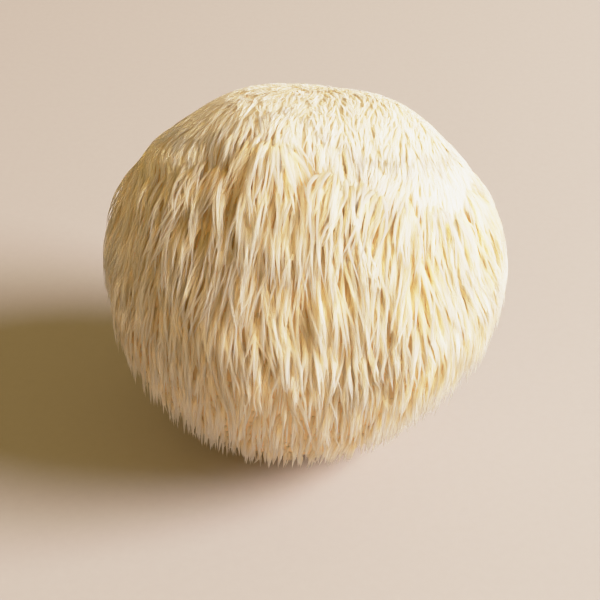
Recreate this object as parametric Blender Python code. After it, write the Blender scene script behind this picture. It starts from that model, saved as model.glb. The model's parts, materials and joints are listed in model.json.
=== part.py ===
"""A lion's mane mushroom, picked, and cut flat where it grew from the wood.

The mushroom is one solid: a globe of soft flesh with spines hanging from all of its surface. A triangulated
globe is the start, and each of its faces is drawn out into one spine, so that the spines leave no bare flesh.
They are short and close on the crown, which a ridge parts from the sides. Past the ridge they are long and
combed down, and below they are shorter again, where they reach down to the surface that the mushroom rests on.

Units are metres and +Z is up. The origin is the middle of the flat cut, and the side that is seen first, with
the long combed spines, faces -Y.
"""

import math
import random

import bmesh
import bpy
from mathutils import Quaternion, Vector, noise

NAME = "lions_mane_mushroom"
SEED = 7  # for the small differences between the spines

# Sizes across the tips of the spines
WIDTH = 0.110
DEPTH = 0.1075
HEIGHT = 0.100

# The flesh under the spines. A fullness of 2 is an ellipse, more is fuller and less is more drawn in.
CUT_DIAMETER = 0.040
WIDEST_AT = 0.049
COAT_AT_SIDES = 0.0060
COAT_ON_CROWN = 0.0032
FULLNESS_ABOVE = 2.0
FULLNESS_BELOW = 1.65
LOBE_HEIGHT = 0.0022
LOBES_PER_RADIUS = 2.1

# The globe bends a little to its right as it grows up, and back again above its widest place.
SWAY_BELOW = 0.0045
SWAY_ABOVE = 0.0032

# The crown leans back from the top of the globe. Its ridge runs high across the front and lower at the sides.
CROWN_BACK_DEG = 15
CROWN_RIGHT_DEG = 5
RIDGE_FRONT_DEG = 32
RIDGE_DROP_DEG = 20
RIDGE_DROPS_RIGHT_DEG = (15, 60)
RIDGE_DROPS_LEFT_DEG = (45, 90)

# The spines. Where they change is told in degrees past the crown's ridge.
ROOT_POINTS = 540
CROWN_CROWDING = 1.25
CROWN_LENGTH = 0.0048
SIDE_LENGTH = 0.0175
FRINGE_LENGTH = 0.0150
CROWN_ENDS_DEG = -12
SIDES_BEGIN_DEG = 12
SIDES_END_DEG = 50
UNDERSIDE_BEGINS_DEG = 80
LIFT_ON_CROWN_DEG = 42
LIFT_AT_SIDES_DEG = 25
LIFT_BELOW_DEG = 27
BEND_DEG = 5
STRAY_DEG = 3
LENGTH_SPREAD = 0.2
SHORTEST = 0.0012
CLEARANCE = 0.0006
MIDDLE_WIDTH = 0.58

FLESH_COLOUR = (0.86, 0.76, 0.58, 1.0)
FLESH_ROUGHNESS = 0.62

GOLDEN_ANGLE = math.pi * (3 - math.sqrt(5))
CROWN_RIGHT = math.tan(math.radians(CROWN_RIGHT_DEG))
CROWN_BACK = math.tan(math.radians(CROWN_BACK_DEG))
CROWN = Vector((CROWN_RIGHT, CROWN_BACK, 1)).normalized()


def clear_scene():
    for thing in list(bpy.data.objects):
        bpy.data.objects.remove(thing)


def smooth_step(low, high, value):
    share = min(max((value - low) / (high - low), 0), 1)
    return share * share * (3 - 2 * share)


def past_ridge(outward):
    """How many degrees past the crown's ridge a place lies that faces one way. It is below 0 on the crown."""
    azimuth = math.degrees(math.atan2(outward.x, -outward.y))
    dropped = smooth_step(*RIDGE_DROPS_RIGHT_DEG, azimuth) + smooth_step(*RIDGE_DROPS_LEFT_DEG, -azimuth)
    return math.degrees(outward.angle(CROWN)) - RIDGE_FRONT_DEG - RIDGE_DROP_DEG * dropped


def flesh_radii():
    """Half widths of the flesh, its height over its widest place, and what its depth below would be uncut."""
    half_x = WIDTH / 2 - COAT_AT_SIDES
    half_y = DEPTH / 2 - COAT_AT_SIDES
    above = HEIGHT - COAT_AT_SIDES - WIDEST_AT
    cut_share = CUT_DIAMETER / 2 / half_x
    below = WIDEST_AT / (1 - cut_share**FULLNESS_BELOW) ** (1 / FULLNESS_BELOW)
    return half_x, half_y, above, below


def on_flesh(direction):
    """The point of the smooth globe in a direction from its middle: full shoulders, drawn in to the cut."""
    half_x, half_y, above, below = flesh_radii()
    fullness = FULLNESS_ABOVE if direction.z > 0 else FULLNESS_BELOW
    upright = above if direction.z > 0 else below
    ring = math.hypot(direction.x, direction.y)
    stretch = (ring**fullness + abs(direction.z) ** fullness) ** (-1 / fullness)
    x, y, z = direction * stretch
    return Vector((x * half_x, y * half_y, z * upright + WIDEST_AT))


def spiral_directions(count):
    """Directions spread over a ball, along one spiral from the crown down, and closest together on the crown."""
    upright_to_crown = Vector((0, 0, 1)).rotation_difference(CROWN)
    for i in range(count):
        z = 1 - 2 * ((i + 0.5) / count) ** CROWN_CROWDING
        ring = math.sqrt(1 - z * z)
        turn = i * GOLDEN_ANGLE
        yield upright_to_crown @ Vector((ring * math.cos(turn), ring * math.sin(turn), z))


def root_points():
    """Points all over the flesh, with an even ring of them round the cut."""
    half_x, half_y = flesh_radii()[:2]
    spacing = math.sqrt(4 * math.pi * half_x * half_y / ROOT_POINTS)
    points = [on_flesh(direction) for direction in spiral_directions(ROOT_POINTS)]
    points = [point for point in points if point.z > spacing / 2]
    ring_count = round(math.pi * CUT_DIAMETER / spacing)
    for i in range(ring_count):
        turn = math.tau * i / ring_count
        edge = CUT_DIAMETER / 2
        points.append(Vector((edge * math.cos(turn), edge * math.sin(turn) * half_y / half_x, 0)))
    return points


def swell_lobes(bm):
    """Gives the globe its broad uneven lobes, which fade out at the cut, and fills it out under the crown,
    where the coat is thinner."""
    half_x = flesh_radii()[0]
    middle = Vector((0, 0, WIDEST_AT))
    for vert in bm.verts:
        outward = vert.co - middle
        swell = noise.noise(outward / half_x * LOBES_PER_RADIUS) * LOBE_HEIGHT
        swell *= smooth_step(0, WIDEST_AT / 2, vert.co.z)
        crown_share = 1 - smooth_step(CROWN_ENDS_DEG, SIDES_BEGIN_DEG, past_ridge(vert.normal))
        swell += (COAT_AT_SIDES - COAT_ON_CROWN) * crown_share
        vert.co += outward.normalized() * swell


def make_globe():
    """The flesh as a closed mesh of triangles, with the cut as its one flat face."""
    bm = bmesh.new()
    for point in root_points():
        bm.verts.new(point)
    bmesh.ops.convex_hull(bm, input=bm.verts)
    bm.normal_update()
    on_cut = [face for face in bm.faces if max(vert.co.z for vert in face.verts) < CLEARANCE]
    cut = bmesh.ops.dissolve_faces(bm, faces=on_cut)["region"][0]
    swell_lobes(bm)
    bmesh.ops.recalc_face_normals(bm, faces=bm.faces)
    return bm, cut


def by_region(past, on_crown, at_sides, below):
    """A value that changes smoothly from the crown over the sides to the underside."""
    over_sides = smooth_step(CROWN_ENDS_DEG, SIDES_BEGIN_DEG, past)
    over_underside = smooth_step(SIDES_END_DEG, UNDERSIDE_BEGINS_DEG, past)
    return on_crown + (at_sides - on_crown) * over_sides + (below - at_sides) * over_underside


def spine_direction(normal, lift_deg, sideways_deg):
    """The way a spine points: lifted off the flesh by one angle, and turned by another from straight away
    from the crown."""
    down_side = (normal * CROWN.dot(normal) - CROWN).normalized()
    along = Quaternion(normal, math.radians(sideways_deg)) @ down_side
    lift = math.radians(lift_deg)
    return normal * math.sin(lift) + along * math.cos(lift)


def draw_out_spines(bm, cut):
    """Draws every face but the cut out into a spine: a narrower ring half way along it, and then a tip."""
    draw = random.Random(SEED)
    faces = [face for face in bm.faces if face != cut]
    faces.sort(key=lambda face: tuple(round(x, 6) for x in face.calc_center_median()))
    outward = [sum((vert.normal for vert in face.verts), Vector()).normalized() for face in faces]
    for face, normal in zip(faces, outward):
        ring = bmesh.ops.extrude_discrete_faces(bm, faces=[face])["faces"][0]
        root = ring.calc_center_median()
        past = past_ridge(normal)
        length = by_region(past, CROWN_LENGTH, SIDE_LENGTH, FRINGE_LENGTH)
        length *= 1 + draw.uniform(-LENGTH_SPREAD, LENGTH_SPREAD)
        length = max(min(length, root.z - CLEARANCE), SHORTEST)
        lift = by_region(past, LIFT_ON_CROWN_DEG, LIFT_AT_SIDES_DEG, LIFT_BELOW_DEG)
        lift += draw.uniform(-STRAY_DEG, STRAY_DEG)
        sideways = draw.uniform(-STRAY_DEG, STRAY_DEG)
        middle = root + spine_direction(normal, lift + BEND_DEG, sideways) * length / 2
        tip = middle + spine_direction(normal, lift - BEND_DEG, sideways) * length / 2
        tip.z = max(tip.z, CLEARANCE)
        for vert in ring.verts:
            vert.co = middle + (vert.co - root) * MIDDLE_WIDTH
            vert.co.z = max(vert.co.z, CLEARANCE)
        bmesh.ops.poke(bm, faces=[ring])["verts"][0].co = tip


def sway(bm):
    """Bends the upright form to its right, most at its widest place. The cut stays where it is."""
    for vert in bm.verts:
        up = (vert.co.z - WIDEST_AT) / WIDEST_AT
        back_again = SWAY_BELOW if up < 0 else SWAY_ABOVE
        vert.co.x += SWAY_BELOW - back_again * up**2


def fit_to_sizes(bm):
    """Brings the tips of the outermost spines to the sizes at the top of this file."""
    for axis, size in enumerate((WIDTH, DEPTH, HEIGHT)):
        spread = [vert.co[axis] for vert in bm.verts]
        scale = size / (max(spread) - min(spread))
        for vert in bm.verts:
            vert.co[axis] *= scale


def soft_flesh():
    material = bpy.data.materials.new("soft_flesh")
    material.use_nodes = True
    shader = material.node_tree.nodes["Principled BSDF"]
    shader.inputs["Base Color"].default_value = FLESH_COLOUR
    shader.inputs["Roughness"].default_value = FLESH_ROUGHNESS
    shader.inputs["Metallic"].default_value = 0
    return material


def main():
    clear_scene()
    bm, cut = make_globe()
    draw_out_spines(bm, cut)
    sway(bm)
    fit_to_sizes(bm)
    bmesh.ops.recalc_face_normals(bm, faces=bm.faces)
    mesh = bpy.data.meshes.new(NAME)
    bm.to_mesh(mesh)
    bm.free()
    mesh.materials.append(soft_flesh())
    mushroom = bpy.data.objects.new(NAME, mesh)
    parts = bpy.data.collections.new(NAME)
    bpy.context.scene.collection.children.link(parts)
    parts.objects.link(mushroom)


main()
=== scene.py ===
# %% [markdown]
# # A lion's mane mushroom
# This lesson dresses the plain solid of a picked lion's mane mushroom. The real thing is a globe of soft
# flesh, and every bit of its outside grows a tapering spine that hangs down, so what you see is a coat of
# spines with warm ochre gaps. We make a smooth body first, then grow thousands of spines over it in arrays,
# and end with the finish, the light and the camera. Everything is in metres.

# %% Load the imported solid
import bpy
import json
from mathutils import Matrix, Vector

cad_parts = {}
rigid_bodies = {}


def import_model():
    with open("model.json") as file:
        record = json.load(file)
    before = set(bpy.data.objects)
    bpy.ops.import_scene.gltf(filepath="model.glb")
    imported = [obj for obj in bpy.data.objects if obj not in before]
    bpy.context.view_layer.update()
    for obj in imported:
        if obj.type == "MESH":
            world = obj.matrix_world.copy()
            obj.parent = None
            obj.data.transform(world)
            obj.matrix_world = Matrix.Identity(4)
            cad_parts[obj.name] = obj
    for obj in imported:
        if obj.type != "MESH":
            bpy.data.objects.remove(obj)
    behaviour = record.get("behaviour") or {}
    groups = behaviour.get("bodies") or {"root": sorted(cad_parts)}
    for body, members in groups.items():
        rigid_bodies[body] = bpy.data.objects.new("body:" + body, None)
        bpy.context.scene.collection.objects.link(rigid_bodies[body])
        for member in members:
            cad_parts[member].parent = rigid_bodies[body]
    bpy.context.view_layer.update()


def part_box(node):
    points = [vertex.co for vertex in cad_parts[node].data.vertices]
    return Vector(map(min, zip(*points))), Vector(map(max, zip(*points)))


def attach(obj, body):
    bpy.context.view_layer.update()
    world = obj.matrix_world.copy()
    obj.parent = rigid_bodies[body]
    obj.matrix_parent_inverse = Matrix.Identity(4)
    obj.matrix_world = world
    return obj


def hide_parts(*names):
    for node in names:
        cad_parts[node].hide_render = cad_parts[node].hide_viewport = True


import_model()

# %% Libraries and the size of the mushroom
import json
import math

import bmesh
import bpy
import numpy as np
from mathutils import Vector, noise

NODE = "lions_mane_mushroom"
lowest, highest = (np.array(corner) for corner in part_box(NODE))
WIDTH, DEPTH, HEIGHT = highest - lowest
print(f"{WIDTH * 1000:.0f} x {DEPTH * 1000:.0f} x {HEIGHT * 1000:.0f} mm")

# %% [markdown]
# ## Arithmetic on many points at once
# The mushroom has about ten thousand spines, and a Python loop over every point of every spine would take
# minutes. So we keep points in NumPy arrays, with a row of x, y and z for each, and let a few small helpers
# work on all the rows at once. The bell and the soft ramp are how one look of the coat passes into the
# next.

# %% Helpers for arrays of vectors
TINY = 1e-9


def unit(rows):
    """Rows of vectors, each made one long."""
    return rows / (np.linalg.norm(rows, axis=-1, keepdims=True) + TINY)


def dot(a, b):
    """The dot product of each pair of rows."""
    return np.sum(a * b, axis=-1)


def between(a, b, share):
    """What lies at a share of the way from a to b."""
    return a + (b - a) * share


def smooth_step(low, high, value):
    """0 below low, 1 above high, and a soft ramp between them."""
    share = np.clip((value - low) / (high - low), 0, 1)
    return share * share * (3 - 2 * share)


def bell(offset, width):
    """1 where the offset is 0, and softly less on both sides of it."""
    return np.exp(-((offset / width) ** 2))


def noise_at(points):
    """Smooth noise between about -1 and 1, one value for each point."""
    return np.array([noise.noise(Vector(point)) for point in points])


def wobble(outward, fineness, place=0):
    """Noise over the globe. Another place in the noise gives another pattern."""
    return noise_at(outward * fineness + place)


print("a soft ramp, a quarter up:", smooth_step(0, 1, 0.25))

# %% [markdown]
# ## The form of the flesh
# Under the spines the flesh is a globe: full at its shoulders, drawn in below, and cut flat where it grew
# from the wood. A formula suits it better than a sculpted mesh, because every spine has to ask where the
# surface is and which way it faces. Ours is a superellipse, which is a rounded form with a fullness: 2 is
# an ellipse, and less is more drawn in. The halves above and below the widest place have a height and a
# fullness each.

# %% Sizes of the flesh
COAT_AT_SIDES = 0.0036
COAT_ON_CROWN = 0.0015
CUT_RADIUS = 0.0195
WIDEST_AT = 0.49 * HEIGHT
FULL_ABOVE = 2.0
FULL_BELOW = 1.60

HALF_X = WIDTH / 2 - COAT_AT_SIDES
HALF_Y = DEPTH / 2 - COAT_AT_SIDES
ABOVE = HEIGHT - COAT_AT_SIDES - WIDEST_AT
BELOW = WIDEST_AT / (1 - (CUT_RADIUS / HALF_X) ** FULL_BELOW) ** (1 / FULL_BELOW)
MIDDLE = np.array([0, 0, WIDEST_AT])
print(f"flesh: {HALF_X * 2000:.0f} mm wide, widest {WIDEST_AT * 1000:.0f} mm up")


# %% Ask which way the flesh faces
def form_of(way):
    """For each direction: the fullness there, and the half sizes of the flesh as a row."""
    above = way[:, 2] > 0
    full = np.where(above, FULL_ABOVE, FULL_BELOW)
    upright = np.where(above, ABOVE, BELOW)
    halves = np.stack([np.full(len(way), HALF_X), np.full(len(way), HALF_Y), upright], axis=1)
    return full, halves


def way_to(points):
    """The direction whose point of the flesh lies under each point."""
    outward = points - MIDDLE
    halves = form_of(outward)[1]
    return unit(outward / halves)


def facing(way):
    """Which way the flesh faces, in some directions from its middle."""
    full, halves = form_of(way)
    ring = np.hypot(way[:, 0], way[:, 1]) + TINY
    around = ring ** (full - 2)
    upright = np.abs(way[:, 2] + TINY) ** (full - 2)
    return unit(way * np.stack([around, around, upright], axis=1) / halves)


def facing_under(points):
    """Which way the flesh faces under points, in an array of any shape whose rows are x, y and z."""
    return facing(way_to(points.reshape(-1, 3))).reshape(points.shape)


print("over the right side it faces", facing_under(np.array([[WIDTH, 0, WIDEST_AT]])).round(2))

# %% [markdown]
# ## The crown and its ridge
# The crown leans back from the side that we look at. A ridge parts its short spines from the long ones, and
# runs high across the front and lower at the sides. Further down is a second and fainter edge, a tier,
# where one lot of spines ends over the next. We measure both in degrees from the crown's middle, with some
# noise so that they don't look ruled. Whatever changes across an edge can then ask how far past it a place
# is.

# %% The crown's ridge and the second tier
CROWN_BACK_DEG = 15
CROWN_RIGHT_DEG = 5
RIDGE_FRONT_DEG = 32
RIDGE_DROP_DEG = 20
RIDGE_DROPS_RIGHT_DEG = (15, 60)
RIDGE_DROPS_LEFT_DEG = (45, 90)
RIDGE_WOBBLE_DEG = 5
RIDGE_WOBBLES = 3.1
TIER_AT_DEG = 78
TIER_WOBBLE_DEG = 14
TIER_WOBBLES = 2.3


def leaning(right_deg, back_deg):
    """The upward direction, leaned over to the right and to the back."""
    return unit(np.array([math.tan(math.radians(right_deg)), math.tan(math.radians(back_deg)), 1]))


def degrees_from(way, outward):
    """How many degrees each of many directions is turned away from one."""
    return np.degrees(np.arccos(np.clip(outward @ way, -1, 1)))


CROWN = leaning(CROWN_RIGHT_DEG, CROWN_BACK_DEG)


def past_ridge(outward):
    """How many degrees past the crown's ridge places lie that face some ways: below 0 on the crown."""
    azimuth = np.degrees(np.arctan2(outward[:, 0], -outward[:, 1]))
    dropped = smooth_step(*RIDGE_DROPS_RIGHT_DEG, azimuth) + smooth_step(*RIDGE_DROPS_LEFT_DEG, -azimuth)
    ridge = RIDGE_FRONT_DEG + RIDGE_DROP_DEG * dropped
    ridge += wobble(outward, RIDGE_WOBBLES) * RIDGE_WOBBLE_DEG
    return degrees_from(CROWN, outward) - ridge


def past_tier(outward):
    """How many degrees past the second tier's edge each place lies."""
    tier = TIER_AT_DEG + wobble(outward, TIER_WOBBLES, place=7) * TIER_WOBBLE_DEG
    return degrees_from(CROWN, outward) - tier


print("the crown's middle:", CROWN.round(2))

# %% [markdown]
# ## Lobes, and a lean as it grew
# A real one is never quite round. It swells in broad lobes, stands a little higher where the coat is thin,
# and bends to one side as it grows. Lobes and coat change how far out the flesh is. The bend moves finished
# points instead, so the formula can stay upright, and we apply it last to body and spines alike.

# %% Ask where the flesh is
LOBE_HEIGHT = 0.0022
LOBES_PER_RADIUS = 2.1
CROWN_ENDS_DEG = (-6, 10)
SWAY_BELOW = 0.0045
SWAY_ABOVE = 0.0032


def on_flesh(way):
    """The points of the flesh in some directions from its middle, each direction a row one long."""
    full, halves = form_of(way)
    ring = np.hypot(way[:, 0], way[:, 1])
    stretch = (ring**full + np.abs(way[:, 2]) ** full) ** (-1 / full)
    outward = way * halves * stretch[:, None]
    swell = noise_at(outward * LOBES_PER_RADIUS / HALF_X) * LOBE_HEIGHT
    swell *= smooth_step(0, WIDEST_AT / 2, outward[:, 2] + WIDEST_AT)
    normal = facing(way)
    on_crown = 1 - smooth_step(*CROWN_ENDS_DEG, past_ridge(normal))
    rise = swell + (COAT_AT_SIDES - COAT_ON_CROWN) * on_crown
    return MIDDLE + outward + normal * rise[:, None]


def sway(points):
    """The upright form bent a little to its right, most at its widest. The cut stays where it is."""
    up = (points[..., 2] - WIDEST_AT) / WIDEST_AT
    bent = points.copy()
    bent[..., 0] += SWAY_BELOW - np.where(up < 0, SWAY_BELOW, SWAY_ABOVE) * up**2
    return bent


print("top of the crown:", sway(on_flesh(CROWN[None])).round(4))

# %% [markdown]
# ## The body under the spines
# Between the spines you see flesh, lumpy where old spines broke off: ochre at the sides, paler on the
# crown, where the paler colour also paints light into the shade between the short spines. An icosphere gives
# even triangles. We move every point to the formula's surface, so that the body and the roots of the spines
# can't drift apart, cut it with bisect_plane where the mushroom was cut from the wood, and fill the hole.
# Rings inset in that face give the cut its fibrous relief. A value stored with each point tells the material
# how much it lies on the crown.

# %% Store values with the points of a mesh
def store(mesh, name, values):
    """Keeps one value for every point of a mesh, for a material to read."""
    layer = mesh.attributes.new(name, "FLOAT", "POINT")
    layer.data.foreach_set("value", values.astype(np.float32).ravel())


def link(name, data):
    """A new object in the scene, from a mesh, a lamp or a camera."""
    made = bpy.data.objects.new(name, data)
    bpy.context.scene.collection.objects.link(made)
    return made


# %% Make the flat cut
CUT_RINGS = 12
CUT_RELIEF = 0.00022
CUT_FIBRES_PER_METRE = 900
CUT_MATERIAL = 1


def cut_flat(bm):
    """Cuts a mesh off at the floor, and closes it with a slightly rough face."""
    everything = bm.verts[:] + bm.edges[:] + bm.faces[:]
    plane = {"plane_co": (0, 0, 0), "plane_no": (0, 0, -1)}
    bmesh.ops.bisect_plane(bm, geom=everything, clear_outer=True, **plane)
    rim = [edge for edge in bm.edges if edge.is_boundary]
    cut = bmesh.ops.contextual_create(bm, geom=rim)["faces"][0]
    cut.material_index = CUT_MATERIAL
    width = CUT_RADIUS / (CUT_RINGS + 1)
    for ring in range(CUT_RINGS):
        bmesh.ops.inset_region(bm, faces=[cut], thickness=width, use_even_offset=False)
    for vert in bm.verts:
        if vert.co.z < TINY and all(face.material_index == CUT_MATERIAL for face in vert.link_faces):
            vert.co.z = CUT_RELIEF * (1 + noise.noise(vert.co * CUT_FIBRES_PER_METRE))


print(f"cut: {CUT_RADIUS * 2000:.0f} mm across")

# %% Make the body
BODY_DETAIL = 6
LUMP_HEIGHT = 0.0004
LUMPS_PER_METRE = 330
LUMPS_BEGIN = (0.001, 0.006)
PALE_ENDS_DEG = (-8, 6)


def make_body():
    """The flesh as one closed mesh, lumpy above its flat cut."""
    bm = bmesh.new()
    bmesh.ops.create_icosphere(bm, subdivisions=BODY_DETAIL, radius=1)
    way = unit(np.array([vert.co[:] for vert in bm.verts]))
    points = on_flesh(way)
    lumps = noise_at(points * LUMPS_PER_METRE) * LUMP_HEIGHT
    lumps *= smooth_step(*LUMPS_BEGIN, points[:, 2])
    for vert, point in zip(bm.verts, points + facing(way) * lumps[:, None]):
        vert.co = point
    cut_flat(bm)
    upright = np.array([vert.co[:] for vert in bm.verts])
    for vert, point in zip(bm.verts, sway(upright)):
        vert.co = point
    bmesh.ops.triangulate(bm, faces=[face for face in bm.faces if len(face.verts) > 4])
    bmesh.ops.recalc_face_normals(bm, faces=bm.faces)
    mesh = bpy.data.meshes.new("flesh_body")
    bm.to_mesh(mesh)
    bm.free()
    mesh.shade_smooth()
    # How much of the crown each point is; from it the material paints the crown's flesh paler, which also
    # lightens the shade between its spines.
    store(mesh, "on_crown", 1 - smooth_step(*PALE_ENDS_DEG, past_ridge(facing_under(upright))))
    return link("flesh_body", mesh)


flesh_body = make_body()
print("body:", len(flesh_body.data.polygons), "faces")

# %% [markdown]
# ## Hollows in the coat
# In a few places the spines part, and you look in at ochre flesh. They make the coat look deep. We choose
# where they are on the front and let chance place some behind. Spines rooted in one lie low, and those
# above it stop at its edge.

# %% Choose the hollows
# Azimuth from the front towards the right, angle above the horizon, and radius.
HOLLOWS = [
    (-3, 25, 0.0040),
    (-39, 48, 0.0022),
    (-27, 48, 0.0022),
    (-11, 15, 0.0026),
    (7, 18, 0.0022),
    (23, 17, 0.0024),
    (39, 25, 0.0026),
    (13, 54, 0.0020),
]
HIDDEN_HOLLOWS = 16
HIDDEN_AZIMUTHS_DEG = (60, 300)
HIDDEN_UP_DEG = (-10, 50)
HIDDEN_RADII = (0.0016, 0.0034)
SEED = 11

draw = np.random.default_rng(SEED)


def hollow_places():
    """The middle of each hollow on the flesh, which way it faces, and its radius."""
    azimuth, up, radius = np.array(HOLLOWS).T
    azimuth = np.append(azimuth, draw.uniform(*HIDDEN_AZIMUTHS_DEG, HIDDEN_HOLLOWS))
    up = np.append(up, draw.uniform(*HIDDEN_UP_DEG, HIDDEN_HOLLOWS))
    radius = np.append(radius, draw.uniform(*HIDDEN_RADII, HIDDEN_HOLLOWS))
    azimuth, up = np.radians(azimuth), np.radians(up)
    way = np.stack([np.sin(azimuth) * np.cos(up), -np.cos(azimuth) * np.cos(up), np.sin(up)], axis=1)
    return on_flesh(way), facing(way), radius


hollow_middle, hollow_facing, hollow_radius = hollow_places()
print("hollows:", len(hollow_radius))

# %% [markdown]
# ## Where the spines are rooted
# Spines grow all over the flesh, finer and closer together on the crown. A golden-angle spiral spreads
# points evenly on a ball, and a little jitter hides its pattern. We spread one closer lot and one wider lot
# over the whole ball, and keep of each what lies on its own side of the ridge, with an edge drawn at random
# so that it can't be seen.

# %% Spread the roots
GOLDEN_ANGLE = math.pi * (3 - math.sqrt(5))
BALL = 4 * math.pi
CROWN_SPINES_ON_BALL = 19500
SIDE_SPINES_ON_BALL = 9300
JITTER = 0.30
CROWN_STOPS_DEG = (-2, 7)
SIDES_START_DEG = (-7, 3)
LOWEST_ROOT = 0.0016


def spread(count):
    """Directions spread over a ball along a spiral, each moved a little at random."""
    turn_by = np.arange(count) + 0.5
    up = 1 - 2 * turn_by / count
    ring = np.sqrt(1 - up**2)
    angle = turn_by * GOLDEN_ANGLE
    way = np.stack([ring * np.cos(angle), ring * np.sin(angle), up], axis=1)
    return unit(way + draw.normal(0, JITTER * math.sqrt(BALL / count), way.shape))


def rooted():
    """The directions of all the roots: close together on the crown, wider apart past its ridge."""
    on_crown = spread(CROWN_SPINES_ON_BALL)
    on_crown = on_crown[past_ridge(facing(on_crown)) < draw.uniform(*CROWN_STOPS_DEG, len(on_crown))]
    at_sides = spread(SIDE_SPINES_ON_BALL)
    at_sides = at_sides[past_ridge(facing(at_sides)) >= draw.uniform(*SIDES_START_DEG, len(at_sides))]
    way = np.concatenate([on_crown, at_sides])
    return way[on_flesh(way)[:, 2] > LOWEST_ROOT]


roots = rooted()
print("roots:", len(roots))

# %% [markdown]
# ## What sets the spines apart
# Real spines differ with where they grow. On the crown they are short, thin and close to the flesh. Past
# the ridge they are long and lie in two layers: the upper ones are pale and catch the light, and the lower
# ones lie in their shade. Along the ridge and each tier they arch and stand up in crests. We first work out
# how much each root belongs to each of these zones, from 0 to 1, and blend every size from that.

# %% The zones of the coat
SIDE_BEGINS_DEG = (-4, 5)
NEAR_RIDGE_DEG = (-38, -2)
FRINGE_BEGINS_DEG = (95, 120)
CREST_PAST_DEG = 3
CREST_WIDTH_DEG = 5


def zones_of(outward):
    """How far past the ridge each spine grows, and how much it belongs to each zone."""
    past = past_ridge(outward)
    return {
        "past": past,
        "on_side": smooth_step(*SIDE_BEGINS_DEG, past),
        "near_ridge": smooth_step(*NEAR_RIDGE_DEG, past),
        "fringe": smooth_step(*FRINGE_BEGINS_DEG, degrees_from(CROWN, outward)),
        "at_ridge": bell(past - CREST_PAST_DEG, CREST_WIDTH_DEG),
        "at_tier": bell(past_tier(outward) - CREST_PAST_DEG, CREST_WIDTH_DEG),
    }


def by_zone(zone, pole, crown, side):
    """A size that goes from the crown's middle over its outer part to the sides."""
    return between(between(pole, crown, zone["near_ridge"]), side, zone["on_side"])


print(f"roots on the crown: {np.mean(past_ridge(facing(roots)) < 0):.0%}")

# %% How long and how arched the spines are
POLE_LENGTH = 0.0070
CROWN_LENGTH = 0.0105
SIDE_LENGTH = 0.0165
FRINGE_LENGTH = 0.0150
LENGTH_SPREAD = 0.17
TIER_ARCH = 0.7
ARCH_SPREAD = 0.12
MOST_ARCH = 1.2


def spread_by(spread_share, count):
    """Random factors around 1."""
    return np.exp(draw.normal(0, spread_share, count))


def lengths_of(zone):
    """How long each spine is."""
    length = by_zone(zone, POLE_LENGTH, CROWN_LENGTH, SIDE_LENGTH)
    return between(length, FRINGE_LENGTH, zone["fringe"]) * spread_by(LENGTH_SPREAD, len(length))


def arches_of(zone):
    """How much each spine arches: 0 is hardly at all, and 1 is a loop that rises fast and sinks again."""
    arch = zone["at_ridge"] + TIER_ARCH * zone["at_tier"] * zone["on_side"]
    return np.clip(arch + draw.normal(0, ARCH_SPREAD, len(arch)), 0, MOST_ARCH)


print(f"typical lengths: {POLE_LENGTH * 1000:.1f} mm on the crown, {SIDE_LENGTH * 1000:.1f} mm at the sides")

# %% Which roots lie low: those in the hollows, and some above the tier
GAP_ABOVE_TIER_DEG = 5
GAP_WIDTH_DEG = 4
GAP_SHARE = 0.8
GAP_PATCHES = 6
GAP_PATCH = (-0.1, 0.25)


def sunken(way):
    """True for the roots in the hollows, and for some in patches just above the second tier."""
    root = on_flesh(way)
    apart = np.linalg.norm(root[:, None] - hollow_middle[None], axis=-1)
    in_hollow = (apart < hollow_radius).any(axis=1)
    outward = facing(way)
    band = bell(past_tier(outward) + GAP_ABOVE_TIER_DEG, GAP_WIDTH_DEG)
    patch = smooth_step(*GAP_PATCH, wobble(outward, GAP_PATCHES, place=3))
    return in_hollow | (draw.uniform(0, 1, len(way)) < GAP_SHARE * band * patch)


# %% How high the spines stand
OVER_SHARE = 0.5
OVER_HEIGHTS = (0.76, 0.96)
UNDER_HEIGHTS = (0.45, 0.68)
SUNKEN_HEIGHTS = (0.18, 0.34)
CROWN_HEIGHT = 0.0009
CROWN_UNEVENNESS = 0.12
CREST_LOFT = 0.75
CREST_PATCHES = 11
CREST_PATCH = (-0.05, 0.25)
CREST_TO_FRONT = (0.1, 0.5)


def heights_of(zone, outward, over, low):
    """How high each spine stands off the flesh: the upper layer, the lower one, and those in hollows."""
    count = len(over)
    share = np.where(over, draw.uniform(*OVER_HEIGHTS, count), draw.uniform(*UNDER_HEIGHTS, count))
    share = np.where(low, draw.uniform(*SUNKEN_HEIGHTS, count), share)
    share = between(1 - CROWN_UNEVENNESS + CROWN_UNEVENNESS * share, share, zone["on_side"])
    height = between(CROWN_HEIGHT, COAT_AT_SIDES, zone["on_side"]) * share
    crest = smooth_step(*CREST_PATCH, wobble(outward, CREST_PATCHES, place=5))
    to_front = smooth_step(*CREST_TO_FRONT, -outward[:, 1])
    return height * (1 + CREST_LOFT * zone["at_ridge"] * crest * to_front * (over & ~low))


print(f"coat: {CROWN_HEIGHT * 1000:.1f} mm deep on the crown, {COAT_AT_SIDES * 1000:.1f} mm at the sides")

# %% [markdown]
# ## Combing the coat
# The spines lie away from a place behind the crown, as hair does from a parting, and straight down where
# the sides are steep. Neighbours lean the same way, which gives locks, and every spine has a small lean of
# its own. At the crests the roots also gather in tufts. If each spine went its own way instead, the coat
# would look like felt.

# %% Which way the spines lie
COMB_BACK_DEG = 42
COMB_RIGHT_DEG = 9
STRAIGHT_DOWN = (0.2, 0.8)
UPRIGHT = np.array([0, 0, 1.0])
COMBED_FROM = leaning(COMB_RIGHT_DEG, COMB_BACK_DEG)


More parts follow.
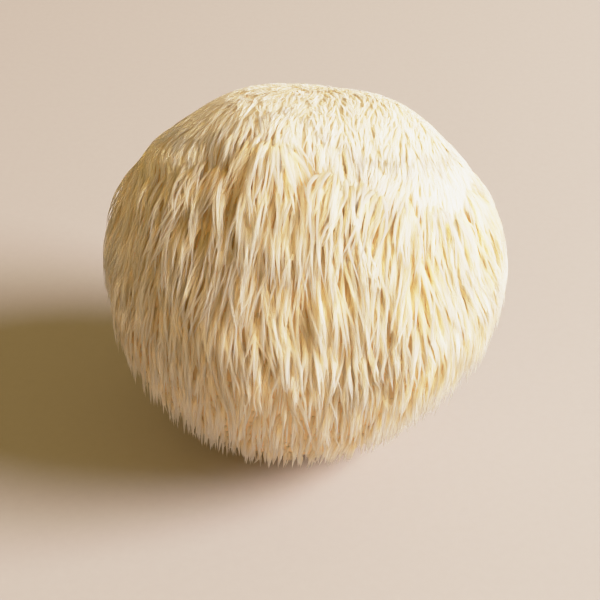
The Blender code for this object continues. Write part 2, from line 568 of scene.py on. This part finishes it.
def combed(outward):
    """The way the spines lie: away from a place behind the crown on the top, and more and more straight
    down where the flesh faces sideways."""
    down_the_side = smooth_step(*STRAIGHT_DOWN, 1 - outward[:, 2])
    away_from = between(COMBED_FROM, UPRIGHT, down_the_side[:, None])
    return unit(outward * dot(outward, away_from)[:, None] - away_from)


print("spines lie away from", COMBED_FROM.round(2))

# %% Tufts and leans
TUFTS = 500
TUFT_PULL = 0.05
CREST_PULL = 0.35
LOCK_LEAN_DEG = 18
LOCK_LEANS = 3.7
OWN_LEAN_DEG = 6
POLE_LEAN_DEG = 25
POLE_WIDTH_DEG = 6


def gather_roots(way, pull):
    """Draws roots together into tufts. Gives the moved roots and how far aside each was, in metres."""
    centres = draw.choice(len(way), TUFTS, replace=False)
    nearest = np.array([np.argmax(way[centres] @ one) for one in way])
    root = on_flesh(way)
    outward = facing(way)
    offset = root - root[centres][nearest]
    moved = way_to(root - offset * pull[:, None])
    return moved, dot(offset, np.cross(outward, combed(outward))) * pull


def leans_of(outward):
    """How many degrees each spine is turned from the way that the coat is combed."""
    lean = wobble(outward, LOCK_LEANS, place=20) * LOCK_LEAN_DEG
    own_lean = OWN_LEAN_DEG + POLE_LEAN_DEG * bell(degrees_from(COMBED_FROM, outward), POLE_WIDTH_DEG)
    return lean + draw.normal(0, 1, len(lean)) * own_lean


print("roots to a tuft:", len(roots) // TUFTS)

# %% Describe every spine
POLE_RADIUS = 0.00036
CROWN_RADIUS = 0.00045
SIDE_RADIUS = 0.00051
RADIUS_SPREAD = 0.16
WAVE_DEG = 9
STEEPEST = 0.4
RAGGED = (-0.10, 0.06)
REACH = (0.3, 1.0)


def describe(way):
    """Everything that sets the spines apart: a dictionary of arrays with a value for each spine."""
    count = len(way)
    outward = facing(way)
    zone = zones_of(outward)
    length = lengths_of(zone)
    arch = arches_of(zone)
    over = draw.uniform(0, 1, count) < OVER_SHARE
    low = sunken(way)
    height = heights_of(zone, outward, over, low)
    radius = by_zone(zone, POLE_RADIUS, CROWN_RADIUS, SIDE_RADIUS)
    at_crest = np.maximum(zone["at_ridge"], zone["at_tier"])
    way, aside = gather_roots(way, TUFT_PULL + CREST_PULL * at_crest)
    return {
        "way": way,
        "length": length,
        "height": np.minimum(height, length * STEEPEST),
        "arch": arch,
        "lean": np.radians(leans_of(outward)) + aside / length,
        "radius": radius * spread_by(RADIUS_SPREAD, count),
        "wave": np.radians(draw.normal(0, WAVE_DEG, count)),
        "phase": draw.uniform(0, math.tau, count),
        "ragged": draw.uniform(*RAGGED, count),
        "reach": np.where(over & ~low, draw.uniform(*REACH, count), -1),
        "coat": between(CROWN_HEIGHT, COAT_AT_SIDES, zone["on_side"]),
        "past": zone["past"],
        "on_side": zone["on_side"],
    }


spines = describe(roots)
print(f"longest spine: {spines['length'].max() * 1000:.0f} mm")

# %% [markdown]
# ## How a spine grows
# A spine leaves the flesh at a slant, bends over and hangs down the side. We walk each one along the
# surface in small steps and lift it off by a rising height, all spines at once in one array. Arched spines
# rise faster and then sink. The lower spines leave the surface, which draws in under them, and hang nearly
# straight.

# %% Walk the spines over the flesh
STEPS = 12
STEEPNESS = 1.7
ARCH_STEEPNESS = 1.6
ARCH_SINKS = 0.35
LEAST_AHEAD = 0.25
WAVES_ALONG = 5


def rise(share, arch):
    """How high a spine stands over the flesh at a share of its length, as a part of its height."""
    left = max(1 - share, 0)
    return 1 - left ** (STEEPNESS + ARCH_STEEPNESS * arch) - ARCH_SINKS * arch * share**2


def walk(spine):
    """The middle line of every spine, as an array of spines by points by x, y and z."""
    way = spine["way"]
    line = []
    step = spine["length"] / STEPS
    for i in range(STEPS + 1):
        share = i / STEPS
        base = on_flesh(way)
        outward = facing(way)
        up = rise(share, spine["arch"]) * spine["height"]
        line.append(base + outward * up[:, None])
        next_up = rise(share + 1 / STEPS, spine["arch"]) * spine["height"]
        along = np.sqrt(np.maximum(step**2 - (next_up - up) ** 2, (LEAST_AHEAD * step) ** 2))
        down = combed(outward)
        turn = spine["lean"] + spine["wave"] * np.sin(share * WAVES_ALONG + spine["phase"])
        heading = down * np.cos(turn)[:, None] + np.cross(outward, down) * np.sin(turn)[:, None]
        way = way_to(base + heading * along[:, None])
    return np.stack(line, axis=1)


print(f"half way along it has risen {rise(0.5, 0):.0%} of its height, or {rise(0.5, 1):.0%} if it arches")

# %% Let the lower spines hang
HANG = 0.8
HANGS_UNDER = (-0.05, 0.45)
HANGS_ALONG = (0.1, 0.7)


def hang(line):
    """Turns the spines of the underside downwards, where the flesh below them draws in."""
    steps = np.diff(line, axis=1)
    size = np.linalg.norm(steps, axis=-1, keepdims=True)
    under = smooth_step(*HANGS_UNDER, -facing_under(line[:, :-1])[..., 2])
    weight = HANG * under * smooth_step(*HANGS_ALONG, np.linspace(0, 1, STEPS))
    steps = unit(between(steps, -UPRIGHT * size, weight[..., None])) * size
    return np.concatenate([line[:, :1], line[:, :1] + np.cumsum(steps, axis=1)], axis=1)


# %% [markdown]
# ## Where the spines end
# The fringe ends on a line that draws in towards the floor, ragged from spine to spine. We work out how far
# each spine's points are outside that line, below the floor or inside a hollow, shorten the spines that go
# too far, and walk them again, so that they keep their taper and their bend. Half of the ones left very
# short are taken out, which gives the fringe its long free tips.

# %% Measure what reaches too far
FULL_OUTSIDE = 1.68
FOOT_RADIUS = 0.0230
CLEARANCE = 0.0005
OUTER_BELOW = WIDEST_AT / (1 - (2 * FOOT_RADIUS / WIDTH) ** FULL_OUTSIDE) ** (1 / FULL_OUTSIDE)


def outside(line, spine):
    """Above 0 where a point is too far out, or too close to the surface that the mushroom rests on."""
    ring = np.hypot(line[..., 0] * 2 / WIDTH, line[..., 1] * 2 / DEPTH)
    drop = np.maximum(WIDEST_AT - line[..., 2], 0) / OUTER_BELOW
    too_far = ring**FULL_OUTSIDE + drop**FULL_OUTSIDE - 1 - spine["ragged"][:, None]
    too_far = np.where(drop > 0, too_far, -1)
    too_low = (CLEARANCE + spine["radius"][:, None] - line[..., 2]) / WIDEST_AT
    over = np.maximum(too_far, too_low)
    for middle, outward, radius in zip(hollow_middle, hollow_facing, hollow_radius):
        offset = line - middle
        height = offset @ outward
        apart = np.linalg.norm(offset - outward * height[..., None], axis=-1)
        into = (radius * spine["reach"][:, None] - apart) / WIDEST_AT
        over = np.maximum(over, np.where(height > -radius, into, -1))
    return over


print(f"at the floor the fringe draws in to {FOOT_RADIUS * 1000:.0f} mm from the middle")

# %% Shorten the spines, and leave some out
SHORTENINGS = 3
LEAST_KEPT = 0.3
STEEPEST_WHEN_CUT = 0.5
SHORT = 0.0065
LEFT_OUT = 0.5
LEFT_OUT_PAST_DEG = 10


def shorten(spine):
    """Shortens the spines that would reach outside, and gives the lines of all of them."""
    rows = np.arange(len(spine["way"]))
    for attempt in range(SHORTENINGS):
        over = outside(hang(walk(spine)), spine)
        over[:, 0] = -TINY
        first = np.maximum(np.argmax(over > 0, axis=1), 1)
        before, after = over[rows, first - 1], over[rows, first]
        share = (first - 1 + before / (before - after - TINY)) / STEPS
        share = np.where((over > 0).any(axis=1), np.clip(share, LEAST_KEPT, 1), 1)
        spine["length"] = spine["length"] * share
        spine["height"] = np.minimum(spine["height"], spine["length"] * STEEPEST_WHEN_CUT)
    return hang(walk(spine))


def leave_out_short(spine, lines):
    """Leaves out half of the side spines that came out short, so that the fringe has long free tips."""
    short = (spine["length"] < SHORT) & (spine["past"] > LEFT_OUT_PAST_DEG)
    short &= draw.uniform(0, 1, len(lines)) < LEFT_OUT
    return {key: value[~short] for key, value in spine.items()}, lines[~short]


lines = shorten(spines)
spines, lines = leave_out_short(spines, lines)
print("lines:", lines.shape, "lowest tip:", lines[:, :, 2].min())

# %% [markdown]
# ## Locks
# Damp spines cling together, so their tips meet in pointed locks with gaps between them. We choose some
# spines as guides and pull the neighbours of each towards it, more and more towards the tip. They keep most
# of their own height over the flesh, so that a lock stays as deep as the coat.

# %% Draw the tips of each lock together
LOCKS = 750
LOCK_PULL = (0.22, 0.68)
LOCK_CLOSES = 1.4
HEIGHT_KEPT = 0.5


def draw_locks_together(lines, spine):
    """Pulls the spines of a lock towards the lock's middle line, more and more towards the tip."""
    centres = draw.choice(len(lines), LOCKS, replace=False)
    starts = lines[:, 0]
    nearest = np.array([np.argmin(np.sum((starts[centres] - start) ** 2, axis=1)) for start in starts])
    pull = draw.uniform(*LOCK_PULL, len(lines))
    share = np.linspace(0, 1, STEPS + 1) ** LOCK_CLOSES
    lock_length = spine["length"][centres][nearest]
    pull *= np.minimum(spine["length"], lock_length) / np.maximum(spine["length"], lock_length)
    aside = lines[centres][nearest] - lines
    outward = facing_under(lines)
    aside -= outward * dot(aside, outward)[..., None] * HEIGHT_KEPT
    return lines + aside * (pull[:, None] * share[None, :])[..., None]


lines = draw_locks_together(lines, spines)
lines[:, :, 2] = np.maximum(lines[:, :, 2], CLEARANCE)
print("locks:", LOCKS, "of about", len(lines) // LOCKS, "spines")

# %% [markdown]
# ## From lines to spines
# A real spine is soft, about a millimetre thick, and tapers to a point. Each line gets a ring of points at
# every step or every other one, and neighbouring rings are joined with faces. All of it is array work, so
# it takes a second or two where a loop of Blender's curve objects would take minutes. The rings are
# flattened towards the flesh, most on the crown, because wet spines lie against each other and hide the
# round of their sides.

# %% Sweep rings along the lines
ROOT_THICKNESS = 0.86
SWELLS_BY = 0.3
TAPER = 0.93
TAPER_LATE = 2.1
SIDES = 5


def taper(share):
    """The thickness along a spine, as a part of its radius: less at the root, and least at the tip."""
    swollen = ROOT_THICKNESS + (1 - ROOT_THICKNESS) * smooth_step(0, SWELLS_BY, share)
    return swollen * (1 - TAPER * share**TAPER_LATE)


def sweep(lines, radius, flatness, sides):
    """The rings of points round every line: spines by rings by sides by x, y and z."""
    share = np.linspace(0, 1, lines.shape[1])
    ahead = unit(np.gradient(lines, axis=1))
    aside = unit(np.cross(ahead, facing_under(lines)))
    up = np.cross(aside, ahead)
    angle = -np.arange(sides) * math.tau / sides
    thick = (radius[:, None] * taper(share)[None, :])[..., None, None]
    upright = np.sin(angle)[:, None] * flatness[:, None, None, None]
    across = aside[:, :, None] * np.cos(angle)[:, None] + up[:, :, None] * upright
    return lines[:, :, None] + across * thick


print("thickness from root to tip:", taper(np.linspace(0, 1, 5)).round(2))

# %% Join the rings with faces
def faces_of(count, rings, sides):
    """Corner numbers of the faces of that many spines: the sides, the points and the closed roots."""
    per_spine = rings * sides + 1
    first = np.arange(count)[:, None, None] * per_spine
    ring = np.arange(rings - 1)[None, :, None] * sides
    side = np.arange(sides)[None, None, :]
    after = (side + 1) % sides
    corners = [ring + side, ring + after, ring + sides + after, ring + sides + side]
    walls = np.stack([first + corner for corner in corners], axis=-1).reshape(-1, 4)
    last = (rings - 1) * sides
    point = np.broadcast_to(first + per_spine - 1, (count, 1, sides))
    points = np.stack([first + last + side, first + last + after, point], axis=-1).reshape(-1, 3)
    closed_roots = (first + side[:, :, ::-1]).reshape(-1, sides)
    return walls, points, closed_roots


def mesh_object(name, vertices, face_groups, values):
    """A smooth mesh from arrays of points, groups of faces and named values for its points."""
    mesh = bpy.data.meshes.new(name)
    sizes = np.concatenate([np.full(len(group), group.shape[1]) for group in face_groups])
    corners = np.concatenate([group.ravel() for group in face_groups])
    mesh.vertices.add(len(vertices))
    mesh.vertices.foreach_set("co", vertices.astype(np.float32).ravel())
    mesh.loops.add(len(corners))
    mesh.loops.foreach_set("vertex_index", corners.astype(np.int32))
    mesh.polygons.add(len(sizes))
    mesh.polygons.foreach_set("loop_start", (np.cumsum(sizes) - sizes).astype(np.int32))
    mesh.update(calc_edges=True)
    mesh.shade_smooth()
    for key, value in values.items():
        store(mesh, key, value)
    return link(name, mesh)


print("faces of one spine:", [len(group) for group in faces_of(1, STEPS + 1, SIDES)])

# %% [markdown]
# ## A place on a map for every spine
# A finish that changes along a spine can be baked to a picture, and for that every face needs a place of
# its own on a UV map. An automatic unwrap of a million triangles takes very long. Our spines are all alike,
# so we lay the map out ourselves: a grid of upright strips, a strip for each spine, with its closed root
# below.

# %% Lay out a strip for every spine
STRIP_MARGIN = 0.04
ROOT_BAND = 0.06
ROOT_CIRCLE = 0.4


def lay_out(mesh, count, rings, sides):
    """A UV map with an upright strip for every spine. The closed root lies below its spine's sides."""
    side = np.arange(sides)
    ring = np.arange(rings - 1)[:, None]
    across = np.stack([side, side + 1, side + 1, side], axis=-1) / sides
    along = np.stack([ring, ring, ring + 1, ring + 1], axis=-1) / rings
    walls = np.stack(np.broadcast_arrays(across[None], along), axis=-1)
    across = np.stack([side, side + 1, side + 0.5], axis=-1) / sides
    along = np.array([rings - 1, rings - 1, rings]) / rings
    points = np.stack(np.broadcast_arrays(across, along), axis=-1)
    angle = side[::-1] * math.tau / sides
    closed = 0.5 + ROOT_CIRCLE * np.stack([np.cos(angle), np.sin(angle)], axis=-1)
    for part in (walls, points):
        part[..., 1] = between(ROOT_BAND, 1, part[..., 1])
    closed[..., 1] *= ROOT_BAND
    columns = math.ceil(2 * math.sqrt(count))
    number = np.arange(count)
    corner = np.stack([number % columns, number // columns], axis=-1)[:, None]
    size = np.array([columns, math.ceil(count / columns)])
    places = []
    for part in (walls, points, closed):
        strip = corner + between(STRIP_MARGIN, 1 - STRIP_MARGIN, part.reshape(1, -1, 2))
        places.append((strip / size).ravel())
    layer = mesh.uv_layers.new(name="OFBake")
    layer.data.foreach_set("uv", np.concatenate(places).astype(np.float32))


# %% [markdown]
# ## Soft shading, and what each spine stores
# Light spreads inside wet flesh, so the shaded side of a spine is never as dark as that of a dry twig. We
# turn every normal part of the way towards that of the flesh below, and the coat is lit more as one body.
# Every point also stores how far along its spine it is, how deep it lies in the coat, and a number that its
# spine drew, for the material to read; the material paints ochre shade with depth. On the crown the depth is
# brought half way to the top, so its short spines, which are pale down to the root, get less of that shade.

# %% Make one piece of the coat
SOFTENED = 0.45
FLATNESS = 0.42
CROWN_FLATNESS = 0.24
CROWN_PAINTED_SHADE_LIFT = 0.5
TIP_LENGTH = 0.6


def soften(mesh, outward):
    """Turns a mesh's normals towards the way that the flesh faces, so that neighbours are lit alike."""
    own = np.empty(len(mesh.vertices) * 3, dtype=np.float32)
    mesh.vertex_normals.foreach_get("vector", own)
    mesh.normals_split_custom_set_from_vertices(unit(between(own.reshape(-1, 3), outward, SOFTENED)))


def make_spines(name, chosen, every):
    """One object with the chosen spines, with a ring at every so many steps."""
    line = lines[chosen][:, ::every]
    radius = spines["radius"][chosen]
    on_side = spines["on_side"][chosen]
    rings = sweep(line, radius, between(CROWN_FLATNESS, FLATNESS, on_side), SIDES)
    count, ring_count = rings.shape[:2]
    per_spine = ring_count * SIDES + 1
    tips = line[:, -1] + unit(line[:, -1] - line[:, -2]) * radius[:, None] * TIP_LENGTH
    vertices = np.concatenate([rings.reshape(count, -1, 3), tips[:, None]], axis=1).reshape(-1, 3)
    vertices[:, 2] = np.maximum(vertices[:, 2], CLEARANCE / 2)
    outward = facing_under(vertices)
    above = dot(vertices - on_flesh(way_to(vertices)), outward)
    depth = above / np.repeat(spines["coat"][chosen], per_spine)
    # On the crown, half of the painted depth shade is lifted.
    depth = between(between(depth, 1, CROWN_PAINTED_SHADE_LIFT), depth, np.repeat(on_side, per_spine))
    share = np.repeat(np.linspace(0, 1, ring_count), SIDES)
    values = {
        "along": np.tile(np.append(share, 1.0), (count, 1)),
        "depth": depth,
        "seed": np.repeat(draw.uniform(0, 1, count), per_spine),
    }
    made = mesh_object(name, sway(vertices), faces_of(count, ring_count, SIDES), values)
    lay_out(made.data, count, ring_count, SIDES)
    soften(made.data, outward)
    return made


# %% Make the spines in pieces, from the crown down
# Name, degrees past the ridge where the piece begins and ends, and steps to a ring.
BANDS = [
    ("pole_spines", -90, -16, 2),
    ("crown_spines", -16, 0, 2),
    ("ridge_spines", 0, 12, 1),
    ("upper_spines", 12, 28, 1),
    ("middle_spines", 28, 44, 1),
    ("lower_spines", 44, 58, 1),
    ("underside_spines", 58, 74, 1),
    ("fringe_spines", 74, 180, 2),
]
coat = []
for name, begin, end, every in BANDS:
    chosen = np.flatnonzero((spines["past"] >= begin) & (spines["past"] < end))
    piece = make_spines(name, chosen, every)
    coat.append(piece)
    triangles = sum(len(face.vertices) - 2 for face in piece.data.polygons)
    print(name, len(chosen), "spines,", triangles, "triangles")

# %% [markdown]
# ## Shader maths that reads like maths
# A material's node tree is easier to read as an expression. A small class wraps a socket, so that adding or
# multiplying it makes the Math node. Any other node comes from one method, which takes the node's type, its
# settings and what goes into its sockets.

# %% A socket that can be reckoned with
class Value:
    """A node's output. Plus and times make Math nodes."""

    def __init__(self, finish, socket):
        self.finish = finish
        self.socket = socket

    def reckon(self, operation, other):
        return self.finish.node("ShaderNodeMath", {"operation": operation}, {0: self, 1: other})

    def __add__(self, other):
        return self.reckon("ADD", other)

    __radd__ = __add__

    def __mul__(self, other):
        return self.reckon("MULTIPLY", other)

    __rmul__ = __mul__


# %% A material that is built one node at a time
# The Mix node has sockets for each kind of value. These are the numbers of the ones for colours.
MIX_SHARE, MIX_A, MIX_B, MIX_COLOUR = 0, 6, 7, 2


class Finish:
    """A material, its shader, and the nodes that feed it."""

    def __init__(self, name):
        self.material = bpy.data.materials.new(name)
        self.material.use_nodes = True
        self.nodes = self.material.node_tree.nodes
        self.links = self.material.node_tree.links
        self.shader = self.nodes["Principled BSDF"]
        self.shader.subsurface_method = "BURLEY"

    def give(self, socket, value):
        """Sets a socket to a number or colour, or links it."""
        if isinstance(value, Value):
            self.links.new(value.socket, socket)
        else:
            socket.default_value = value

    def node(self, kind, settings, inputs, output=0):
        """A node with its settings made first and its inputs given, as the Value of one output."""
        made = self.nodes.new(kind)
        for key, value in settings.items():
            setattr(made, key, value)
        for key, value in inputs.items():
            self.give(made.inputs[key], value)
        return Value(self, made.outputs[output])

    def stored(self, name):
        """A value that the mesh stores for its points."""
        return self.node("ShaderNodeAttribute", {"attribute_name": name}, {}, "Fac")

    def speckle(self, per_metre, detail):
        """Noise from 0 to 1 with that many spots to the metre."""
        place = self.node("ShaderNodeTexCoord", {}, {}, "Object")
        inputs = {"Vector": place, "Scale": per_metre, "Detail": detail}
        return self.node("ShaderNodeTexNoise", {}, inputs)

    def ramp(self, value, low, high):
        """A value brought from low-high to 0-1, with soft ends."""
        inputs = {"Value": value, "From Min": low, "From Max": high}
        return self.node("ShaderNodeMapRange", {"interpolation_type": "SMOOTHSTEP"}, inputs)

    def blend(self, share, a, b):
        """A colour between a and b."""
        inputs = {MIX_SHARE: share, MIX_A: a, MIX_B: b}
        return self.node("ShaderNodeMix", {"data_type": "RGBA"}, inputs, MIX_COLOUR)

    def bump(self, height, distance, strength):
        """A normal for a surface that rises by a distance where the height goes from 0 to 1."""
        inputs = {"Height": height, "Distance": distance, "Strength": strength}
        return self.node("ShaderNodeBump", {}, inputs)

    def finish(self, **inputs):
        """Feeds the shader's own sockets, named with underscores for spaces."""
        for key, value in inputs.items():
            self.give(self.shader.inputs[key.replace("_", " ")], value)
        return self.material

    def let_light_through(self, share, colour):
        """Mixes in a translucent shader, which passes light on to what lies behind."""
        through = self.node("ShaderNodeBsdfTranslucent", {}, {"Color": colour})
        solid = Value(self, self.shader.outputs[0])
        mixed = self.node("ShaderNodeMixShader", {}, {0: share, 1: solid, 2: through})
        self.links.new(mixed.socket, self.nodes["Material Output"].inputs["Surface"])


# %% [markdown]
# ## The finish of the spines
# Fresh spines are ivory and let much light through, and what comes back out of the depths of the coat is
# ochre. A plain ivory paint would go grey in the gaps. So the warm shade of the gaps is painted in: the
# colour goes to ochre with how deep a point lies in the coat, and from an ochre root to an ivory tip along
# its spine, and each spine is a tone of its own. Subsurface scattering spreads light inside a spine, a
# translucent shader passes it on to the next one, and a faint bump keeps the gloss broken.

# %% Ivory spines
IVORY = (0.90, 0.89, 0.86, 1)
CREAM = (0.91, 0.89, 0.83, 1)
# The ochre of the roots, which is also painted in as the warm shade deep in the coat.
ROOT_AND_PAINTED_SHADE_OCHRE = (0.96, 0.82, 0.51, 1)
GLOW = (0.96, 0.94, 0.855, 1)
LET_THROUGH = 0.70
SCATTER_RADIUS = (1.0, 0.85, 0.65)
SCATTER_SCALE = 0.0035
# Painted shade: the depths over which it fades to pale, and below, the share of the colour that it sets.
PAINTED_SHADE_FADES_WITH_DEPTH = (0.30, 0.85)
PALE_ALONG = (0.05, 0.60)
PAINTED_SHADE_SHARE = 0.75


def spine_finish():
    """Ochre at the roots and ivory at the tips, with painted ochre shade deep in the coat and ivory on top;
    soft and a little glossy.
    """
    made = Finish("ivory_spines")
    depth = made.ramp(made.stored("depth"), *PAINTED_SHADE_FADES_WITH_DEPTH)
    along = made.ramp(made.stored("along"), *PALE_ALONG)
    # Painted shade: three quarters of this comes from how deep a point lies in the coat, the rest from how
    # far along its spine it is.
    lit = depth * PAINTED_SHADE_SHARE + along * (1 - PAINTED_SHADE_SHARE)
    patch = made.speckle(per_metre=55, detail=3)
    shade = made.stored("seed") * 0.5 + patch * 0.5
    pale = made.blend(made.ramp(shade, 0.25, 0.75), CREAM, IVORY)
    fibre = made.speckle(per_metre=2600, detail=2)
    made.let_light_through(LET_THROUGH, GLOW)
    return made.finish(
        Base_Color=made.blend(lit, ROOT_AND_PAINTED_SHADE_OCHRE, pale),
        Roughness=0.46 + 0.16 * fibre,
        Normal=made.bump(fibre, distance=0.00006, strength=0.6),
        Subsurface_Weight=1.0,
        Subsurface_Radius=SCATTER_RADIUS,
        Subsurface_Scale=SCATTER_SCALE,
        Specular_IOR_Level=0.15,
    )


spine_material = spine_finish()
for piece in coat:
    piece.data.materials.append(spine_material)
print("spines:", len(spine_material.node_tree.nodes), "nodes")

# %% [markdown]
# ## The finish of the flesh and the cut
# The flesh between the spines is ochre in soft patches, and pale on the crown, where the coat is thin; that
# paler colour also paints light into the shade between the crown's short spines. The cut below has dried a
# little: it is a dull tan with short fibres. Both are opaque, because nothing shines through a body this
# thick.

# %% Ochre flesh
DEEP_OCHRE = (0.93, 0.64, 0.30, 1)
LIGHT_OCHRE = (0.95, 0.74, 0.42, 1)
# Paler flesh on the crown, which also paints light into the shade between the crown's spines.
PALE_CROWN_FLESH_LIFTING_SHADE = (0.95, 0.85, 0.64, 1)


def flesh_finish():
    """Patches of ochre, pale on the crown, where the paler colour also paints light into the shade between
    its spines.
    """
    made = Finish("ochre_flesh")
    patch = made.speckle(per_metre=90, detail=4)
    grain = made.speckle(per_metre=1400, detail=3)
    ochre = made.blend(made.ramp(patch, 0.3, 0.7), DEEP_OCHRE, LIGHT_OCHRE)
    return made.finish(
        Base_Color=made.blend(made.stored("on_crown"), ochre, PALE_CROWN_FLESH_LIFTING_SHADE),
        Roughness=0.55 + 0.2 * grain,
        Normal=made.bump(grain, distance=0.00012, strength=0.8),
        Subsurface_Weight=0.3,
        Subsurface_Radius=SCATTER_RADIUS,
        Subsurface_Scale=SCATTER_SCALE,
    )


flesh_body.data.materials.append(flesh_finish())

# %% The pale cut
DRY_TAN = (0.66, 0.50, 0.30, 1)
PALE_TAN = (0.84, 0.76, 0.60, 1)


def cut_finish():
    """Dull tan fibres in paler patches."""
    made = Finish("pale_cut")
    fibre = made.speckle(per_metre=1100, detail=4)
    patch = made.speckle(per_metre=160, detail=3)
    shade = fibre * 0.4 + patch * 0.6
    return made.finish(
        Base_Color=made.blend(made.ramp(shade, 0.35, 0.7), DRY_TAN, PALE_TAN),
        Roughness=0.7 + 0.15 * fibre,
        Normal=made.bump(fibre, distance=0.00015, strength=0.8),
        Subsurface_Weight=0.25,
        Subsurface_Radius=SCATTER_RADIUS,
        Subsurface_Scale=SCATTER_SCALE,
    )


flesh_body.data.materials.append(cut_finish())
print("materials of the body:", [material.name for material in flesh_body.data.materials])

# %% [markdown]
# ## Tying the pieces to the solid
# The frame has one body, the root, and every piece rides on it. The fleshy body takes the plain solid's
# place.

# %% Tie the pieces to the solid
for piece in [flesh_body] + coat:
    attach(piece, "root")
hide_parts(NODE)
print("pieces:", 1 + len(coat))

# %% [markdown]
# ## The floor
# The mushroom stands on a plain pale floor, which belongs to the stage and not to the part. A flat square
# would show its edge and the sky behind it in a low view. Ours is round, and its rim curves up far behind,
# as a studio's paper backdrop does.

# %% Floor
FLOOR_GAP = 0.0002
FLOOR_SIDES = 96
# Distance from the middle and height, from the flat part up the curved rim.
FLOOR_PROFILE = [(0.4, 0), (2.0, 0), (2.5, 0.02), (2.8, 0.11), (3.0, 0.29), (3.1, 0.55), (3.12, 0.9)]
FLOOR_DARK = (0.465, 0.436, 0.402, 1)
FLOOR_PALE = (0.495, 0.464, 0.427, 1)


def make_floor():
    """A round floor whose rim curves up, so that a low view sees no edge."""
    profile = np.array(FLOOR_PROFILE)
    angle = -np.arange(FLOOR_SIDES) * math.tau / FLOOR_SIDES
    circle = np.stack([np.cos(angle), np.sin(angle), np.zeros(FLOOR_SIDES)], axis=1)
    rings = circle[None] * profile[:, :1, None] + UPRIGHT * (profile[:, 1:, None] - FLOOR_GAP)
    walls, _, middle = faces_of(1, len(profile), FLOOR_SIDES)
    floor = mesh_object("floor", rings.reshape(-1, 3), [walls, middle], {})
    made = Finish("pale_floor")
    grain = made.blend(made.speckle(per_metre=420, detail=3), FLOOR_DARK, FLOOR_PALE)
    floor.data.materials.append(made.finish(Base_Color=grain, Roughness=0.9))
    return floor


floor = make_floor()
print("floor:", len(floor.data.polygons), "faces")

# %% [markdown]
# ## The light
# One broad lamp to the right, a little on our side, gives the long soft shadow to the left. It is big and
# near, so the shadow's edge is soft. A dim warm sky fills the shaded side and turns the shadow brown.

# %% Light
LAMP_SIZE = 1.4
LAMP_DISTANCE = 2.4
LAMP_POWER = 131
LAMP_UP_DEG = 32
LAMP_FORWARD_DEG = 9
LAMP_COLOUR = (1.0, 0.905, 0.955)
SKY_COLOUR = (1.0, 0.70, 0.25, 1)
SKY_STRENGTH = 0.465


def aim_at(thing, target):
    """Turns a lamp or camera to look at a point."""
    thing.rotation_euler = (Vector(target) - thing.location).to_track_quat("-Z", "Y").to_euler()


def make_lamp():
    """A round area lamp that points at the mushroom."""
    data = bpy.data.lights.new("key_lamp", "AREA")
    data.shape = "DISK"
    data.size = LAMP_SIZE
    data.energy = LAMP_POWER
    data.color = LAMP_COLOUR
    lamp = link("key_lamp", data)
    up = math.radians(LAMP_UP_DEG)
    forward = math.radians(LAMP_FORWARD_DEG)
    way = Vector((math.cos(up) * math.cos(forward), -math.cos(up) * math.sin(forward), math.sin(up)))
    lamp.location = way * LAMP_DISTANCE
    aim_at(lamp, MIDDLE)
    return lamp


def make_sky():
    """The same dim light from everywhere."""
    world = bpy.data.worlds.new("soft_sky")
    world.use_nodes = True
    backdrop = world.node_tree.nodes["Background"]
    backdrop.inputs["Color"].default_value = SKY_COLOUR
    backdrop.inputs["Strength"].default_value = SKY_STRENGTH
    bpy.context.scene.world = world


lamp = make_lamp()
make_sky()
print("lamp at", [round(x, 2) for x in lamp.location])

# %% [markdown]
# ## The camera
# The picture looks down on the mushroom from about 35 degrees, which shows the crown and the combed front
# at once. A long lens, as for a portrait, keeps the globe from bulging towards us.

# %% Camera
CAMERA_UP_DEG = 35
LENS = 85
SENSOR = 36
CAMERA_DISTANCE = 0.3905
NEAREST_SEEN = 0.01
AIM = (0.0030, 0, 0.0389)


def make_camera():
    """The scene's camera, in front of the mushroom and above it."""
    data = bpy.data.cameras.new("camera")
    data.lens = LENS
    data.sensor_width = SENSOR
    data.clip_start = NEAREST_SEEN
    camera = link("camera", data)
    up = math.radians(CAMERA_UP_DEG)
    camera.location = Vector(AIM) + Vector((0, -math.cos(up), math.sin(up))) * CAMERA_DISTANCE
    aim_at(camera, AIM)
    bpy.context.scene.camera = camera
    return camera


camera = make_camera()
print("camera at", [round(x, 3) for x in camera.location])

# %% [markdown]
# ## How the picture is developed
# Ivory in full light would clip to flat white. A curve with a soft shoulder, as film has, leaves the darker
# tones alone and bends the brightest over. Light crosses many spines before it comes out of the coat, so
# the renderer also has to follow it for more bounces than it does by default.

# %% Tone curve and bounces
SHOULDER_BEGINS = 0.5
BRIGHTEST = 0.93
MOST_LIGHT = 3.0
CURVE_POINTS = (0.25, 0.5, 0.7, 0.9, 1.15, 1.5, 2.0)
ALL_CHANNELS = 3
BOUNCES = 24


def developed(light):
    """The tone for an amount of light: the same up to the shoulder, and then less and less more."""
    room = BRIGHTEST - SHOULDER_BEGINS
    past = max(light - SHOULDER_BEGINS, 0)
    return min(light, SHOULDER_BEGINS) + room * (1 - math.exp(-past / room))


def soften_highlights(view):
    """Sets the tone curve. It takes light from 0 to 1, so the white level brings the most light to 1."""
    view.use_curve_mapping = True
    mapping = view.curve_mapping
    mapping.white_level = (MOST_LIGHT, MOST_LIGHT, MOST_LIGHT)
    curve = mapping.curves[ALL_CHANNELS]
    curve.points[-1].location = (1, developed(MOST_LIGHT))
    for light in CURVE_POINTS:
        curve.points.new(light / MOST_LIGHT, developed(light))
    mapping.update()


scene = bpy.context.scene
scene.view_settings.view_transform = "Standard"
soften_highlights(scene.view_settings)
scene.cycles.max_bounces = BOUNCES
scene.cycles.diffuse_bounces = BOUNCES
scene.cycles.transmission_bounces = BOUNCES
print("light of 1 gets a tone of", round(developed(1), 2))
